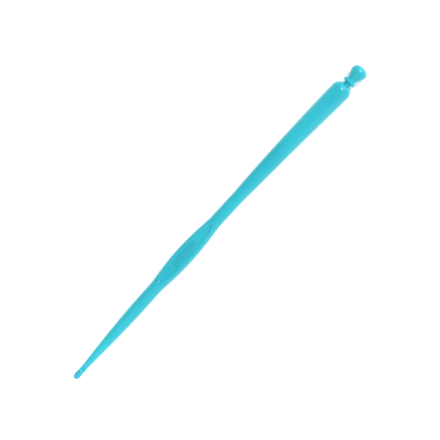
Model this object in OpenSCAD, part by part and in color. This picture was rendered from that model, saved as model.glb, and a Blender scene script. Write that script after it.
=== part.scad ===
// Crochet hook: one plastic moulding, drawn as its named regions.
//
// The hook lies along X, with its nose at -X and its knob at +X. The ribbed side of the thumb rest
// faces +Z. Lengths called u are measured from the nose, towards the knob. Neighbouring regions meet
// on planes square to X. The origin is the middle of the bottom of the bounding box.

/* [Whole hook] */
// Sideways bow of the hook, left by cooling in the mould
bow_height = 1.54; // [0:0.02:2]

/* [Hook end] */
// Diameter of the head, which names the hook's size
head_d = 2.6; // [2.4:0.05:2.8]
// Length of the rounded nose, up to where the head is thickest
nose_len = 1.7; // [1.5:0.1:2.2]
// Length over which the head narrows behind its thickest place
narrow_len = 2.9; // [2.4:0.1:3.2]
// Length of the whole head, from the nose to the lip
head_len = 3.5; // [3.2:0.1:3.8]
// Diameter of the throat where it is thinnest, before the notch is cut
throat_d = 2.24; // [2:0.02:2.4]
// Diameter of the stem where the notch's ramp ends
stem_d = 2.65; // [2.45:0.05:2.8]
// Length of the notch, with its wall and its ramp
notch_len = 6; // [5:0.5:7]
// Length of the slanting wall behind the lip
wall_len = 1.2; // [0.8:0.1:1.5]
// Height of the notch's floor above the axis
notch_floor = 0.1; // [0:0.05:0.3]

/* [Shaft] */
// Diameter of the straight part of the shaft
seat_d = 5; // [4.6:0.1:5.4]
// Length of the tapering part of the shaft
taper_len = 28.5; // [24:0.5:32]
// Length of the straight part of the shaft
seat_len = 10; // [8:0.5:12]

/* [Thumb rest] */
// Width of the thumb rest at its widest place
rest_w = 7.28; // [6.6:0.02:8]
// Length of the thumb rest
rest_len = 34; // [32:1:38]
// Distance from the start of the thumb rest to its widest place
rest_peak = 16.5; // [15:0.5:18]
// Length of the oval recess on each side
recess_len = 29.8; // [24:0.2:30]
// Width of the recess
recess_w = 4.4; // [3.8:0.1:4.6]
// Depth of the recess
recess_depth = 0.4; // [0.3:0.05:0.6]
// Distance from the start of the thumb rest to the middle of the recess
recess_mid = 17; // [16.5:0.1:17.5]

/* [Size ribs] */
// Number of ribs
rib_count = 8; // [4:1:8]
// Distance from one rib to the next
rib_pitch = 1.4; // [1:0.1:1.5]
// Length of a rib, across the hook
rib_len = 2.7; // [1.5:0.1:2.8]
// Width of a rib
rib_w = 0.55; // [0.3:0.05:0.6]
// Height of a rib above the floor of the recess
rib_h = 0.3; // [0.15:0.05:0.3]
// Diameter of the round pip beside the ribs
pip_d = 1.5; // [0.6:0.1:1.6]

/* [Handle] */
// Diameter of the handle where it leaves the thumb rest
waist_d = 4.92; // [4.6:0.02:5]
// Diameter of the handle at its thickest place
grip_d = 8.12; // [7.4:0.02:9]
// Length of the handle, up to where its end starts to round over
grip_len = 70.6; // [60:0.1:76]
// Length that the rounded end would have if it closed to a point
dome_len = 3.75; // [3:0.05:4.2]

/* [Collar] */
// Diameter at the bottom of the groove
groove_d = 3.2; // [3:0.05:3.8]
// Width of the groove
groove_len = 0.8; // [0.6:0.1:1.4]
// Diameter of the bead
bead_d = 5.25; // [4.8:0.05:5.6]
// Thickness of the bead at its foot
bead_len = 1.9; // [1.4:0.1:2.2]
// Diameter of the neck between the bead and the knob
neck_d = 3.9; // [3.6:0.1:4.2]
// Length of the neck
neck_len = 0.54; // [0.4:0.02:0.8]

/* [Knob] */
// Diameter of the knob
knob_d = 6.68; // [6:0.02:7]
// Length of the knob from the neck to its thickest place
knob_back_len = 3.45; // [3:0.05:3.8]
// Length of the knob from its thickest place to its end
knob_front_len = 2.55; // [2.2:0.05:3]

/* [Hidden] */

$fn = 96;
plastic = [0.24, 0.76, 0.82];

// Where the regions and their curves begin, measured from the nose
lip_u = head_len;
narrow_u = nose_len + narrow_len;
ramp_u = lip_u + notch_len;
seat_u = ramp_u + taper_len;
rest_u = seat_u + seat_len;
handle_u = rest_u + rest_len;
dome_u = handle_u + grip_len;
groove_u = dome_u + dome_len * sqrt(1 - pow(groove_d / grip_d, 2));
bead_u = groove_u + groove_len;
neck_u = bead_u + bead_len;
knob_u = neck_u + neck_len;
wide_u = knob_u + knob_back_len;
end_u = wide_u + knob_front_len;

// Powers that set how full each curve is
stem_power = 1.7;
taper_power = 1.6;
rest_power = 1.2;
grip_power = 0.85;
knob_back_power = 1.5;
knob_front_power = 2.4;

// The handle stays slim over this share of its length, and eases into its swelling over this one
slim_share = 0.16;
ease_share = 0.1;

// Extra length that the cutting solids and the planes between regions need
spare = 0.2;
// Half of a size larger than the hook's thickness and width
beyond = 8;
sides = 32;

function mix(a, b, t) = a + (b - a) * t;
function share(u, a, b) = (u - a) / (b - a);
function half_wave(t) = (1 - cos(180 * t)) / 2;

// Share of the handle's swelling that is reached after a share t of its length
function swell(t) =
    let (s = max(t - slim_share, 0) / (1 - slim_share))
    pow(s, grip_power) * (1 - exp(-pow(s / ease_share, 2)));

// How far the thumb rest's side stands out, as a share of the most it does
function rest_bulge(u) =
    let (d = u - rest_u - rest_peak)
    let (s = d / (d < 0 ? rest_peak : rest_len - rest_peak))
    pow(1 - min(s * s, 1), rest_power);

function rest_side(u) = mix(seat_d, waist_d, share(u, rest_u, handle_u)) / 2;

function bead_r(u) =
    let (t = share(u, bead_u, neck_u))
    mix(mix(groove_d, neck_d, t), bead_d, 1 - pow(2 * t - 1, 2)) / 2;

// Radius of the hook's round outline
function radius(u) =
    u < nose_len ? head_d / 2 * sqrt(1 - pow(1 - u / nose_len, 2)) :
    u < narrow_u ? mix(head_d, throat_d, half_wave(share(u, nose_len, narrow_u))) / 2 :
    u < ramp_u ? mix(throat_d, stem_d, pow(share(u, narrow_u, ramp_u), stem_power)) / 2 :
    u < seat_u ? mix(seat_d, stem_d, pow(share(u, seat_u, ramp_u), taper_power)) / 2 :
    u < rest_u ? seat_d / 2 :
    u < handle_u ? mix(rest_side(u), rest_w / 2, rest_bulge(u)) :
    u < dome_u ? mix(waist_d, grip_d, swell(share(u, handle_u, dome_u))) / 2 :
    u < groove_u ? grip_d / 2 * sqrt(1 - pow((u - dome_u) / dome_len, 2)) :
    u < bead_u ? groove_d / 2 :
    u < neck_u ? bead_r(u) :
    u < knob_u ? neck_d / 2 :
    u < wide_u ? mix(knob_d, neck_d, pow(share(u, wide_u, knob_u), knob_back_power)) / 2 :
    let (t = min(share(u, wide_u, end_u), 1))
    knob_d / 2 * pow(1 - pow(t, knob_front_power), 1 / knob_front_power);

// Sideways place of the centre line: a cubic whose highest point is bow_height
function bow(u) =
    let (t = u / end_u)
    bow_height * 1.5 * sqrt(3) * (t - pow(t, 3));

outline_us = [for (u = [0 : 0.5 : end_u]) u];
left_side = max([for (u = outline_us) bow(u) + radius(u)]);
right_side = min([for (u = outline_us) bow(u) - radius(u)]);
mid_y = (left_side + right_side) / 2;

// The centre line's point at u, in the hook's own frame
function centre(u) = [u - end_u / 2, bow(u) - mid_y, grip_d / 2];

// Stations from a to b, without a itself: evenly spaced, or closer together towards one end
function even(a, b, n) = [for (i = [1 : n]) mix(a, b, i / n)];
function close_at_start(a, b, n) = [for (i = [1 : n]) mix(b, a, cos(90 * i / n))];
function close_at_end(a, b, n) = [for (i = [1 : n]) mix(a, b, sin(90 * i / n))];

head_us = concat([0], close_at_start(0, nose_len, 10), even(nose_len, lip_u, 5));
throat_us = concat([lip_u], even(lip_u, narrow_u, 3), even(narrow_u, ramp_u, 8));
shaft_us = concat([ramp_u], even(ramp_u, seat_u, 14), [rest_u]);
rest_us = concat([rest_u], even(rest_u, handle_u, 24));
handle_us = concat([handle_u], even(handle_u, dome_u, 30), close_at_end(dome_u, groove_u, 7));
collar_us = concat([groove_u, bead_u], even(bead_u, neck_u, 10), [knob_u]);
knob_us = concat([knob_u], even(knob_u, wide_u, 8), close_at_end(wide_u, end_u, 12));

function last(list) = list[len(list) - 1];

// Puts its children on the chord from a to b: their origin at a, and their X along the chord
module on_chord(a, b) {
    translate(centre(a)) rotate([0, 0, atan((bow(b) - bow(a)) / (b - a))]) children();
}

// Everything between the planes square to X at a and b
module slab(a, b) {
    translate([a - end_u / 2, -beyond, -beyond]) cube([b - a, 2 * beyond, 4 * beyond]);
}

// The round solid through stations us, turned about the chord between its ends
module turned(us) {
    a = us[0];
    b = last(us);
    outline = [for (u = us) [radius(u), u - a]];
    foot = radius(a) > 0 ? [[0, -spare], [radius(a), -spare]] : [];
    tip = radius(b) > 0 ? [[radius(b), b - a + spare], [0, b - a + spare]] : [];
    intersection() {
        on_chord(a, b) rotate([0, 90, 0]) rotate_extrude() polygon(concat(foot, outline, tip));
        slab(a > 0 ? a : -spare, b < end_u ? b : end_u + spare);
    }
}

// The round solid through stations us, swept along the bowed centre line
module swept(us) {
    rings = len(us);
    points = [
        for (u = us, i = [0 : sides - 1])
        centre(u) + radius(u) * [0, cos(360 * i / sides), sin(360 * i / sides)]
    ];
    walls = [
        for (k = [0 : rings - 2], i = [0 : sides - 1])
        let (j = (i + 1) % sides)
        [k * sides + i, (k + 1) * sides + i, (k + 1) * sides + j, k * sides + j]
    ];
    start = [for (i = [0 : sides - 1]) i];
    finish = [for (i = [0 : sides - 1]) rings * sides - 1 - i];
    polyhedron(points, concat([start, finish], walls));
}

// Height of the notch's floor above the axis at u
function floor_z(u) =
    u < lip_u + wall_len
        ? mix(radius(lip_u) + spare / 4, notch_floor, half_wave(share(u, lip_u, lip_u + wall_len)))
        : mix(notch_floor, stem_d / 2 + spare / 4, half_wave(share(u, lip_u + wall_len, ramp_u)));

module notch() {
    wall_us = concat([lip_u], even(lip_u, lip_u + wall_len, 6));
    floor_us = concat(wall_us, even(lip_u + wall_len, ramp_u, 10));
    floor_line = [for (u = floor_us) [u - lip_u, floor_z(u)]];
    on_chord(lip_u, ramp_u) rotate([90, 0, 0]) linear_extrude(2 * head_d, center = true)
        polygon(concat(floor_line, [[notch_len, head_d], [0, head_d]]));
}

// The flat-sided block that both faces of the thumb rest are cut to
module rest_block() {
    on_chord(rest_u, handle_u) rotate([90, 0, 0]) linear_extrude(2 * beyond, center = true)
        polygon([
            [-spare, -seat_d / 2], [rest_len + spare, -waist_d / 2],
            [rest_len + spare, waist_d / 2], [-spare, seat_d / 2]
        ]);
}

// Height of the recess's floor above the axis
recess_floor = (seat_d + waist_d) / 4 - recess_depth;

// An oval hole with an upright wall and a flat floor
module recess() {
    oval = [for (a = [0 : 5 : 355]) [recess_len * cos(a), recess_w * sin(a)] / 2];
    on_chord(rest_u, handle_u) translate([recess_mid, 0, recess_floor]) linear_extrude(beyond)
        polygon(oval);
}

module rib() {
    linear_extrude(rib_h) {
        square([rib_w, rib_len - rib_w], center = true);
        for (side = [-1, 1]) {
            translate([0, side * (rib_len - rib_w) / 2]) circle(rib_w / 2);
        }
    }
}

module hook_head() {
    color(plastic) turned(head_us);
}

module throat() {
    color(plastic) difference() {
        turned(throat_us);
        notch();
    }
}

module shaft() {
    color(plastic) turned(shaft_us);
}

module thumb_rest() {
    color(plastic) difference() {
        intersection() {
            turned(rest_us);
            rest_block();
        }
        recess();
        translate([0, 0, grip_d]) mirror([0, 0, 1]) recess();
    }
}

module size_ribs() {
    first_rib = recess_mid - rib_count * rib_pitch / 2;
    color(plastic) on_chord(rest_u, handle_u) {
        for (i = [0 : rib_count - 1]) {
            translate([first_rib + i * rib_pitch, 0, recess_floor]) rib();
        }
        translate([first_rib + rib_count * rib_pitch, 0, recess_floor]) cylinder(h = rib_h, d = pip_d);
    }
}

module handle() {
    color(plastic) swept(handle_us);
}

module collar() {
    color(plastic) turned(collar_us);
}

module end_knob() {
    color(plastic) turned(knob_us);
}

hook_head();
throat();
shaft();
thumb_rest();
size_ribs();
handle();
collar();
end_knob();
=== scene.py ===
"""Crochet hook: the looks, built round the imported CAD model, in metres in the CAD frame.

Lengths called u run from the nose towards the knob, in millimetres. One function, section(), gives
the hook's cross-section at any u. Each visible piece is a stretch of it, closed at both ends, and
stands for the CAD node of the same stretch.
"""
import math

import bpy
import numpy as np
from mathutils import Matrix, Vector


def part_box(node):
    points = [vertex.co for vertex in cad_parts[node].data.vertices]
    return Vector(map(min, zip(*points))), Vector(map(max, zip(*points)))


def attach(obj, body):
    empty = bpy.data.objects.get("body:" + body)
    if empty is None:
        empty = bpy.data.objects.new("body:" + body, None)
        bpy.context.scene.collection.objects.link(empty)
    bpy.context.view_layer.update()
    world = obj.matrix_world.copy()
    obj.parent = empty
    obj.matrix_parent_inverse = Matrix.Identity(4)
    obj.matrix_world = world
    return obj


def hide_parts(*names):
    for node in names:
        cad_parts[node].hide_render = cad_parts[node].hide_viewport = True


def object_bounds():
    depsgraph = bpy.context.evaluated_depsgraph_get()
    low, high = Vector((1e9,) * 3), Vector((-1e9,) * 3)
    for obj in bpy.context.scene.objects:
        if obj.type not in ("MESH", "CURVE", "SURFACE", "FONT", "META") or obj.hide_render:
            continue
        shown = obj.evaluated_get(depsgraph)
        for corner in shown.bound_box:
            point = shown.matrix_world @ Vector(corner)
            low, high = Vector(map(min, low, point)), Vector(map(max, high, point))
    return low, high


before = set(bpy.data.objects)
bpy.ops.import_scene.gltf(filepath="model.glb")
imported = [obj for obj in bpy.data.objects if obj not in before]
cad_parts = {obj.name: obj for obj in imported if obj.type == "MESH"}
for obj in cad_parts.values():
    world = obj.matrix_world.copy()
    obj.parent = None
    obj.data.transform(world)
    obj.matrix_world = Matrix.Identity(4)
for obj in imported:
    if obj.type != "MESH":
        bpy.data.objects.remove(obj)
cad_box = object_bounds()

MM = 0.001
BODY = "root"


# ---------------------------------------------------------------- sizes from the CAD frame, in mm

def span(node, axis):
    """Lowest and highest place of a CAD node along an axis, in mm."""
    low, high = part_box(node)
    return low[axis] / MM, high[axis] / MM


def half_height(node):
    low, high = span(node, 2)
    return (high - low) / 2


NOSE_X = span("hook_head", 0)[0]
LIP = span("throat", 0)[0] - NOSE_X
RAMP = span("throat", 0)[1] - NOSE_X
REST = span("thumb_rest", 0)[0] - NOSE_X
HANDLE = span("handle", 0)[0] - NOSE_X
GROOVE = span("handle", 0)[1] - NOSE_X
KNOB = span("end_knob", 0)[0] - NOSE_X
END = span("end_knob", 0)[1] - NOSE_X
AXIS_Z = sum(span("handle", 2)) / 2

HEAD_R = half_height("hook_head")
SEAT_R = half_height("shaft")
REST_HALF = half_height("thumb_rest")
GRIP_R = half_height("handle")
BEAD_R = half_height("collar")
KNOB_R = half_height("end_knob")

# ---------------------------------------------------------------- the hook's other sizes, in mm

BOW = 1.54                # sideways bow of the centre line
NOSE_LEN = 1.7            # nose to the head's thickest place
NARROW = 4.6              # where the throat is thinnest
THROAT_R = 1.12
STEM_R = 1.325            # at the end of the notch's ramp
WALL_LEN = 1.2            # slanting wall behind the lip
NOTCH_FLOOR = 0.1         # above the axis
SEAT = REST - 10.0        # where the shaft's straight part begins
REST_PEAK = 16.5          # from the thumb rest's start to its widest place
REST_SIDE_R = 3.64
CROWN_R = 16.0            # crown of the thumb rest's two faces
RECESS_LEN = 29.8
RECESS_W = 4.4
RECESS_DEPTH = 0.4
RECESS_MID = REST + 17.0
WAIST_R = 2.46
DOME_LEN = 3.75
GROOVE_R = 1.6
GROOVE_LEN = 0.8
GROOVE_DIP = 0.1          # the groove's floor is lower along its middle
NECK_R = 1.95
NECK_LEN = 0.8
KNOB_FRONT = 2.55         # knob's thickest place to its end

DOME = GROOVE - DOME_LEN * math.sqrt(1 - (GROOVE_R / GRIP_R) ** 2)
BEAD = GROOVE + GROOVE_LEN
NECK = KNOB - NECK_LEN
WIDE = END - KNOB_FRONT
RECESS_FLOOR = (SEAT_R + WAIST_R) / 2 - RECESS_DEPTH    # above the axis

# Powers that say how round or how straight each curve of the outline is
RAMP_POWER = 1.7
TAPER_POWER = 1.6         # from the notch's ramp to the shaft's straight part
REST_POWER = 1.2
SWELL_POWER = 0.85
BEAD_POWER = 5
FLARE_POWER = 1.5         # from the neck to the knob
KNOB_POWER = 2.4

SWELL_START = 0.16        # share of the handle that stays as thin as its waist
SWELL_EASE = 0.1          # how gently the swelling begins
BOW_SCALE = 1.5 * math.sqrt(3)    # makes the peak of t - t ** 3 equal to 1

# Softening that the mould and handling give, in mm
EDGE_SOFT = 0.4           # along the edges of the thumb rest's flats
NOTCH_SOFT = 0.14         # along the edges of the notch
RECESS_SOFT = 0.36        # half the width of the recess's wall
GROOVE_SOFT = 0.055       # corners of the groove, bead and neck
PARTING_H = 0.02          # the ridge where the two halves of the mould meet
PARTING_W = 0.07

RING = 168                # points round a section
FINE = 1440               # points a section is worked out at before they are thinned to RING
PARTING_CROWD = 3         # how much closer the points stand at the parting ridge
RECESS_CROWD = 4          # and at the recess's wall


# ---------------------------------------------------------------- the hook's surface

def share(u, a, b):
    """How far u has come from a to b, from 0 to 1."""
    return np.clip((u - a) / (b - a), 0, 1)


def mix(a, b, t):
    return a + (b - a) * t


def half_wave(t):
    return (1 - np.cos(np.pi * t)) / 2


def soft_min(a, b, soft):
    """The smaller of a and b, with the corner between them rounded over a width of soft."""
    overlap = np.maximum(soft - np.abs(a - b), 0) / soft
    return np.minimum(a, b) - overlap ** 2 * soft / 4


def bow(u):
    """Sideways place of the centre line, from the chord between the hook's ends."""
    t = u / END
    return BOW * BOW_SCALE * (t - t ** 3)


def bow_slope(u):
    return BOW * BOW_SCALE * (1 - 3 * (u / END) ** 2) / END


def swell(t):
    """The handle's growth from its waist, 0, to its dome, 1."""
    s = np.maximum(t - SWELL_START, 0) / (1 - SWELL_START)
    return s ** SWELL_POWER * (1 - np.exp(-(s / SWELL_EASE) ** 2))


def rest_bulge(u):
    """The thumb rest's sideways growth, from 0 at its ends to 1 at its widest place."""
    d = u - REST - REST_PEAK
    s = np.where(d < 0, d / REST_PEAK, d / (HANDLE - REST - REST_PEAK))
    return (1 - np.minimum(s * s, 1)) ** REST_POWER


def rest_half(u):
    """Half the thickness between the thumb rest's flats."""
    return mix(SEAT_R, WAIST_R, share(u, REST, HANDLE))


def crowned_face(half, sine, cosine):
    """How far from the axis, along each angle, the thumb rest's crowned face lies."""
    sine = np.maximum(np.abs(sine), 1e-6)
    return 2 * half / (sine + np.sqrt(sine ** 2 + 2 * half * cosine ** 2 / CROWN_R))


def sharp_radius(u):
    """Radius of the hook's round outline, with sharp corners at the groove and neck."""
    bead_t = share(u, BEAD, NECK)
    bead = mix(mix(GROOVE_R, NECK_R, bead_t), BEAD_R, 1 - np.abs(2 * bead_t - 1) ** BEAD_POWER)
    front = share(u, WIDE, END)
    curves = (
        (NOSE_LEN, HEAD_R * np.sqrt(1 - (1 - share(u, 0, NOSE_LEN)) ** 2)),
        (NARROW, mix(HEAD_R, THROAT_R, half_wave(share(u, NOSE_LEN, NARROW)))),
        (RAMP, mix(THROAT_R, STEM_R, share(u, NARROW, RAMP) ** RAMP_POWER)),
        (SEAT, mix(SEAT_R, STEM_R, (1 - share(u, RAMP, SEAT)) ** TAPER_POWER)),
        (REST, SEAT_R + 0 * u),
        (HANDLE, mix(rest_half(u), REST_SIDE_R, rest_bulge(u))),
        (DOME, mix(WAIST_R, GRIP_R, swell(share(u, HANDLE, DOME)))),
        (GROOVE, GRIP_R * np.sqrt(1 - np.clip((u - DOME) / DOME_LEN, 0, 1) ** 2)),
        (BEAD, GROOVE_R - GROOVE_DIP * np.sin(np.pi * share(u, GROOVE, BEAD))),
        (NECK, bead),
        (KNOB, NECK_R + 0 * u),
        (WIDE, mix(KNOB_R, NECK_R, (1 - share(u, KNOB, WIDE)) ** FLARE_POWER)),
        (END + 1, KNOB_R * (1 - front ** KNOB_POWER) ** (1 / KNOB_POWER)),
    )
    return np.select([u < limit for limit, _ in curves], [curve for _, curve in curves])


def radius(u):
    """The outline with its corners between the dome and the knob softened."""
    reach = GROOVE_SOFT * share(u, DOME, DOME + 1) * (1 - share(u, WIDE - 2, WIDE - 1))
    steps = np.linspace(-2, 2, 17)
    weights = np.exp(-steps ** 2 / 2)
    soft = sum(w * sharp_radius(u + s * reach) for s, w in zip(steps, weights))
    return soft / weights.sum()


def notch_height(u):
    """Height of the notch's cut above the axis. Beyond both its ends it rises clear of the hook."""
    foot = LIP + WALL_LEN
    wall = mix(radius(np.float64(LIP)) + 0.05, NOTCH_FLOOR, share(u, LIP, foot))
    ramp = mix(NOTCH_FLOOR, STEM_R + 0.05, half_wave(share(u, foot, RAMP)))
    beyond = 2 * np.maximum(LIP - u, 0) + 0.3 * np.maximum(u - RAMP, 0)
    return np.where(u < foot, wall, ramp) + beyond


def recess_edge(u, y):
    """About how far a place is from the recess's oval edge, less than nothing inside it."""
    half_len, half_w = RECESS_LEN / 2, RECESS_W / 2
    along, across = (u - RECESS_MID) / half_len, y / half_w
    size = np.hypot(along, across)
    steepness = np.hypot(along / half_len, across / half_w) / np.maximum(size, 1e-6)
    return (size - 1) / np.maximum(steepness, 1 / half_len)


def section(us):
    """Points round the hook at each of us: their y and z, and how closely they should stand."""
    u = np.asarray(us, float)[:, None]
    angle = np.linspace(0, 2 * np.pi, FINE + 1)[None, :]
    sine, cosine = np.sin(angle), np.cos(angle)
    up = np.maximum(sine, 1e-6)
    in_rest = (u > REST) & (u < HANDLE)
    rest_soft = EDGE_SOFT * rest_bulge(u) + 0.001
    r = radius(u) + 0 * angle
    r = np.where(in_rest, soft_min(r, crowned_face(rest_half(u), sine, cosine), rest_soft), r)
    r = soft_min(r, notch_height(u) / up, NOTCH_SOFT)
    from_parting = r * np.arcsin(np.minimum(np.abs(sine), 1))
    parting = np.exp(-(from_parting / PARTING_W) ** 2) * np.clip(r, 0, 1)
    r = r + PARTING_H * parting
    y, z = r * cosine, r * sine
    edge = recess_edge(u, y)
    on_flat = in_rest & (np.abs(z) > REST_HALF / 2)
    inside = np.where(on_flat, half_wave(np.clip(0.5 - edge / (2 * RECESS_SOFT), 0, 1)), 0)
    z = mix(z, np.sign(z) * RECESS_FLOOR, inside)
    at_wall = np.where(on_flat, np.exp(-(edge / RECESS_SOFT) ** 2), 0)
    wanted = 1 + PARTING_CROWD * parting + RECESS_CROWD * at_wall
    return y, z, wanted


def thinned(us):
    """RING points round the hook at each of us, standing closer together where shape needs it."""
    y, z, wanted = section(us)
    rings = []
    for k, u in enumerate(us):
        steps = np.hypot(np.diff(y[k]), np.diff(z[k])) * (wanted[k, 1:] + wanted[k, :-1]) / 2
        run = np.concatenate([[0], np.cumsum(steps + 1e-9)])
        places = np.linspace(0, run[-1], RING, endpoint=False)
        across = np.interp(places, run, y[k])
        ring_x = u + NOSE_X - across * bow_slope(u)
        ring_z = np.interp(places, run, z[k]) + AXIS_Z
        rings.append(np.column_stack([ring_x, across + bow(u) + Y_SHIFT, ring_z]))
    return np.array(rings)


outline = np.linspace(0, END, 331)
Y_SHIFT = cad_box[0].y / MM - float(np.min(bow(outline) - radius(outline)))


# ---------------------------------------------------------------- stations along the hook

def even(a, b, step):
    """Stations from a to b about step apart, without a itself."""
    count = max(1, round((b - a) / step))
    return [mix(a, b, (i + 1) / count) for i in range(count)]


def close_at_start(a, b, count):
    """Stations from a to b that stand closer together near a, without a itself."""
    return [mix(b, a, math.cos(math.pi / 2 * (i + 1) / count)) for i in range(count)]


def close_at_end(a, b, count):
    """Stations from a to b that stand closer together near b, without a itself."""
    return [mix(a, b, math.sin(math.pi / 2 * (i + 1) / count)) for i in range(count)]


STATIONS = {
    "hook_head": [0.0] + close_at_start(0, NOSE_LEN, 36) + even(NOSE_LEN, LIP, 0.06),
    "throat": [LIP] + even(LIP, RAMP, 0.06),
    "shaft": [RAMP] + even(RAMP, REST, 0.35),
    "thumb_rest": [REST] + even(REST, HANDLE, 0.17),
    "handle": [HANDLE] + even(HANDLE, DOME, 0.4) + close_at_end(DOME, GROOVE, 30),
    "collar": [GROOVE] + even(GROOVE, KNOB, 0.045),
    "end_knob": [KNOB] + even(KNOB, WIDE, 0.08) + close_at_end(WIDE, END, 44),
}


# ---------------------------------------------------------------- meshes

def mesh_piece(name, points, faces, node):
    """A piece on the hook's body that stands for a CAD node. Points are in mm."""
    mesh = bpy.data.meshes.new(name)
    mesh.from_pydata([tuple(p) for p in np.asarray(points) * MM], [], faces)
    mesh.validate()
    mesh.shade_smooth()
    mesh.set_sharp_from_angle(angle=math.radians(50))
    piece = bpy.data.objects.new(name, mesh)
    bpy.context.scene.collection.objects.link(piece)
    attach(piece, BODY)
    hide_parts(node)
    return piece


def closed_tube(rings):
    """Points and faces of a closed solid through rings of points, with a point at each end's middle."""
    count, size = rings.shape[:2]
    points = np.concatenate([rings.reshape(-1, 3), [rings[0].mean(0), rings[-1].mean(0)]])
    start, finish = count * size, count * size + 1
    last = (count - 1) * size
    faces = []
    for i in range(size):
        j = (i + 1) % size
        faces += [(k * size + i, k * size + j, (k + 1) * size + j, (k + 1) * size + i)
                  for k in range(count - 1)]
        faces.append((start, j, i))
        faces.append((finish, last + i, last + j))
    return points, faces


def hook_piece(node):
    """The stretch of the hook that a CAD node covers.

    Where the hook closes to nothing, at the nose and the knob's end, a single point ends the tube.
    """
    us = STATIONS[node]
    rings = thinned(us)
    first = 1 if radius(np.float64(us[0])) < 1e-6 else 0
    final = len(us) - 1 if radius(np.float64(us[-1])) < 1e-3 else len(us)
    points, faces = closed_tube(rings[first:final])
    if first:
        points[-2] = rings[0].mean(0)
    if final < len(us):
        points[-1] = rings[-1].mean(0)
    return mesh_piece(node + "_skin", points, faces, node)


# ---------------------------------------------------------------- ribs in the recess

RIB_COUNT = 8
RIB_PITCH = 1.4
RIB_LEN = 2.7
RIB_W = 0.55
RIB_H = 0.3
PIP_R = 0.75
RIB_BURIED = 0.03         # how far the ribs reach under the recess's floor
RIB_AROUND = 40
RIB_LEVELS = 9


def mound(centre, half_len, foot_r, height):
    """A raised rib with round ends and a soft top. Its straight part is half_len each way along Y."""
    angles = np.linspace(0, 2 * np.pi, RIB_AROUND, endpoint=False)
    ends = np.where(np.sin(angles) >= 0, half_len, -half_len)

    def ring(r, z):
        level = np.full(RIB_AROUND, z)
        return np.column_stack([r * np.cos(angles), ends + r * np.sin(angles), level])

    rings = [ring(foot_r, -RIB_BURIED)]
    for t in np.linspace(0, 1, RIB_LEVELS):
        r = foot_r * (1 - 0.85 * t ** 4) * (1 - 0.12 * t)
        z = height * math.sin(math.pi / 2 * min(1, 1.15 * t ** 0.8))
        rings.append(ring(r, z))
    points, faces = closed_tube(np.array(rings))
    return points + np.asarray(centre), faces


def rib_piece():
    first = RECESS_MID - RIB_COUNT * RIB_PITCH / 2
    points, faces = [], []
    for i in range(RIB_COUNT + 1):
        u = first + i * RIB_PITCH
        middle = (NOSE_X + u, bow(u) + Y_SHIFT, AXIS_Z + RECESS_FLOOR)
        is_pip = i == RIB_COUNT
        half_len = 0 if is_pip else (RIB_LEN - RIB_W) / 2
        more, more_faces = mound(middle, half_len, PIP_R if is_pip else RIB_W / 2, RIB_H)
        count = sum(len(p) for p in points)
        points.append(more)
        faces += [tuple(v + count for v in face) for face in more_faces]
    return mesh_piece("size_ribs_skin", np.concatenate(points), faces, "size_ribs")


# ---------------------------------------------------------------- the plastic

def linear(red, green, blue):
    """A colour given as screen values from 0 to 255, as the linear colour that shaders take."""
    def one(c):
        c = c / 255
        return c / 12.92 if c <= 0.04045 else ((c + 0.055) / 1.055) ** 2.4
    return (one(red), one(green), one(blue), 1)


PEEL_DEPTH = 0.00004      # in metres
SCRATCH_DEPTH = 0.00002   # in metres
POLISH_RANGE = 0.03       # how far the roughness goes to either side of its middle


def moulded_plastic(name, body, deep, polish):
    """Glossy pigmented plastic: faint flow mottling, fine orange peel and handling scratches."""
    material = bpy.data.materials.new(name)
    material.use_nodes = True
    nodes, links = material.node_tree.nodes, material.node_tree.links
    shader = nodes["Principled BSDF"]
    place = nodes.new("ShaderNodeTexCoord").outputs["Object"]

    def noise(scale, detail, stretch=(1, 1, 1)):
        mapping = nodes.new("ShaderNodeMapping")
        mapping.inputs["Scale"].default_value = stretch
        texture = nodes.new("ShaderNodeTexNoise")
        texture.inputs["Scale"].default_value = scale
        texture.inputs["Detail"].default_value = detail
        links.new(place, mapping.inputs["Vector"])
        links.new(mapping.outputs["Vector"], texture.inputs["Vector"])
        return texture.outputs["Fac"]

    def ranged(value, low, high):
        node = nodes.new("ShaderNodeMapRange")
        node.inputs["From Min"].default_value = 0.3
        node.inputs["From Max"].default_value = 0.7
        node.inputs["To Min"].default_value = low
        node.inputs["To Max"].default_value = high
        links.new(value, node.inputs["Value"])
        return node.outputs["Result"]

    def bump(height, distance, strength, under=None):
        node = nodes.new("ShaderNodeBump")
        node.inputs["Strength"].default_value = strength
        node.inputs["Distance"].default_value = distance
        links.new(height, node.inputs["Height"])
        if under is not None:
            links.new(under, node.inputs["Normal"])
        return node.outputs["Normal"]

    flow = noise(110, 3, (0.35, 1, 1))
    tint = nodes.new("ShaderNodeMix")
    tint.data_type = "RGBA"
    tint.inputs["A"].default_value = deep
    tint.inputs["B"].default_value = body
    links.new(ranged(flow, 0, 1), tint.inputs["Factor"])
    links.new(tint.outputs["Result"], shader.inputs["Base Color"])

    smears = noise(700, 4)
    roughness = ranged(smears, polish - POLISH_RANGE, polish + POLISH_RANGE)
    links.new(roughness, shader.inputs["Roughness"])

    peel = noise(2600, 2)
    scratches = noise(9000, 2, (0.03, 1, 1))
    peeled = bump(peel, PEEL_DEPTH, 0.3)
    links.new(bump(scratches, SCRATCH_DEPTH, 0.25, peeled), shader.inputs["Normal"])

    shader.inputs["IOR"].default_value = 1.53
    shader.inputs["Specular IOR Level"].default_value = 0.5
    return material


# ---------------------------------------------------------------- build the hook

turquoise = moulded_plastic("turquoise_plastic", linear(27, 179, 194), linear(14, 164, 183), 0.22)
pieces = [hook_piece(node) for node in STATIONS]
pieces.append(rib_piece())
for piece in pieces:
    piece.data.materials.append(turquoise)


# ---------------------------------------------------------------- floor, light and camera

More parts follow.
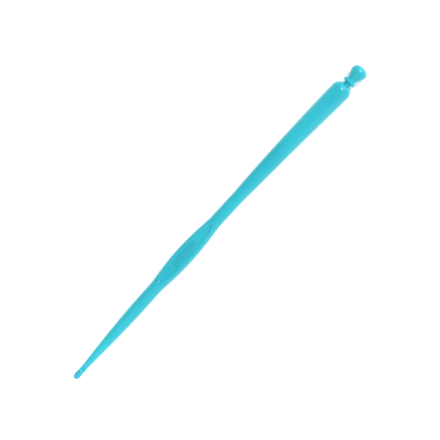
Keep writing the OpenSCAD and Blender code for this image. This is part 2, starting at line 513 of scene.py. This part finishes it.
def light_table(name, colour, glow):
    """A matt white surface that also shines a little, which keeps shadows off it."""
    material = bpy.data.materials.new(name)
    material.use_nodes = True
    shader = material.node_tree.nodes["Principled BSDF"]
    shader.inputs["Base Color"].default_value = colour
    shader.inputs["Roughness"].default_value = 0.6
    shader.inputs["Specular IOR Level"].default_value = 0.2
    shader.inputs["Emission Color"].default_value = (1, 1, 1, 1)
    shader.inputs["Emission Strength"].default_value = glow
    return material


def lay_floor(half_size):
    """A pale floor that touches the hook where the hook would rest, so it slopes a little."""
    under = AXIS_Z - radius(outline)
    before = outline < DOME
    slope = float(np.min(under[before] / (DOME - outline[before])))
    rest_x = (DOME + NOSE_X) * MM
    corners = [(x, y, (rest_x - x) * slope) for x, y in
               ((-half_size, -half_size), (half_size, -half_size),
                (half_size, half_size), (-half_size, half_size))]
    mesh = bpy.data.meshes.new("floor")
    mesh.from_pydata(corners, [], [(0, 1, 2, 3)])
    mesh.materials.append(light_table("pale_floor", linear(248, 248, 248), 0.16))
    floor = bpy.data.objects.new("floor", mesh)
    bpy.context.scene.collection.objects.link(floor)


def soft_world(strength):
    world = bpy.data.worlds.new("light_tent")
    world.use_nodes = True
    background = world.node_tree.nodes["Background"]
    background.inputs["Color"].default_value = (1, 1, 1, 1)
    background.inputs["Strength"].default_value = strength
    bpy.context.scene.world = world


# The camera looks down at the hook, rolled so that the hook runs from low left to high right.
CAMERA_LEAN = math.radians(9)     # between the camera's line of sight and straight down
HOOK_TURN = math.radians(47.05)   # between the hook and the bottom of the frame
FRAME_WIDTH = 171.6               # what the frame takes in at the hook's distance, in mm
LENS = 300.0
SENSOR = 36.0
# The frame's middle, in mm along the hook's chord from the nose and square to it
AIM_ALONG, AIM_ACROSS = 83.87, 0.59

ALONG = Vector((1, 0, 0))
ACROSS = Vector((0, math.cos(CAMERA_LEAN), math.sin(CAMERA_LEAN)))
TO_CAMERA = ALONG.cross(ACROSS)


def place_camera():
    right = math.cos(HOOK_TURN) * ALONG - math.sin(HOOK_TURN) * ACROSS
    up = math.sin(HOOK_TURN) * ALONG + math.cos(HOOK_TURN) * ACROSS
    aim = Vector((NOSE_X + AIM_ALONG, Y_SHIFT, AXIS_Z)) + ACROSS * AIM_ACROSS
    data = bpy.data.cameras.new("camera")
    data.lens = LENS
    data.sensor_width = SENSOR
    data.clip_start = 0.01
    camera = bpy.data.objects.new("camera", data)
    distance = FRAME_WIDTH * MM * LENS / SENSOR
    turn = Matrix((right, up, TO_CAMERA)).transposed().to_4x4()
    camera.matrix_world = Matrix.Translation(aim * MM + TO_CAMERA * distance) @ turn
    bpy.context.scene.collection.objects.link(camera)
    bpy.context.scene.camera = camera


def soft_box(name, along, across, distance, length, width, watts):
    """A light turned towards the hook's middle, with its length along the hook.

    Its direction leaves the camera's by two angles in degrees: along is towards the knob, and
    across is towards the side that the hook bows to. Distance, length and width are in metres.
    """
    data = bpy.data.lights.new(name, "AREA")
    data.shape = "RECTANGLE"
    data.size = length
    data.size_y = width
    data.energy = watts
    light = bpy.data.objects.new(name, data)
    back = TO_CAMERA + ALONG * math.tan(math.radians(along))
    back = (back + ACROSS * math.tan(math.radians(across))).normalized()
    side = back.cross(ALONG).normalized()
    turn = Matrix((side.cross(back), side, back)).transposed().to_4x4()
    middle = Vector((0, 0, AXIS_Z * MM))
    light.matrix_world = Matrix.Translation(middle + back * distance) @ turn
    bpy.context.scene.collection.objects.link(light)


lay_floor(1.5)
soft_world(0.73)
place_camera()
soft_box("knob_light", 62, 0, 0.8, 0.8, 0.8, 2.8)
soft_box("spot_light", 36, 0, 0.8, 0.16, 0.16, 2.0)
soft_box("nose_light", -22, 0, 0.5, 0.3, 0.2, 0.15)
soft_box("tip_light", -55, -10, 0.2, 0.12, 0.12, 0.08)
soft_box("side_light", 10, -60, 0.6, 0.5, 0.4, 0.4)
bpy.context.scene.view_settings.view_transform = "Standard"
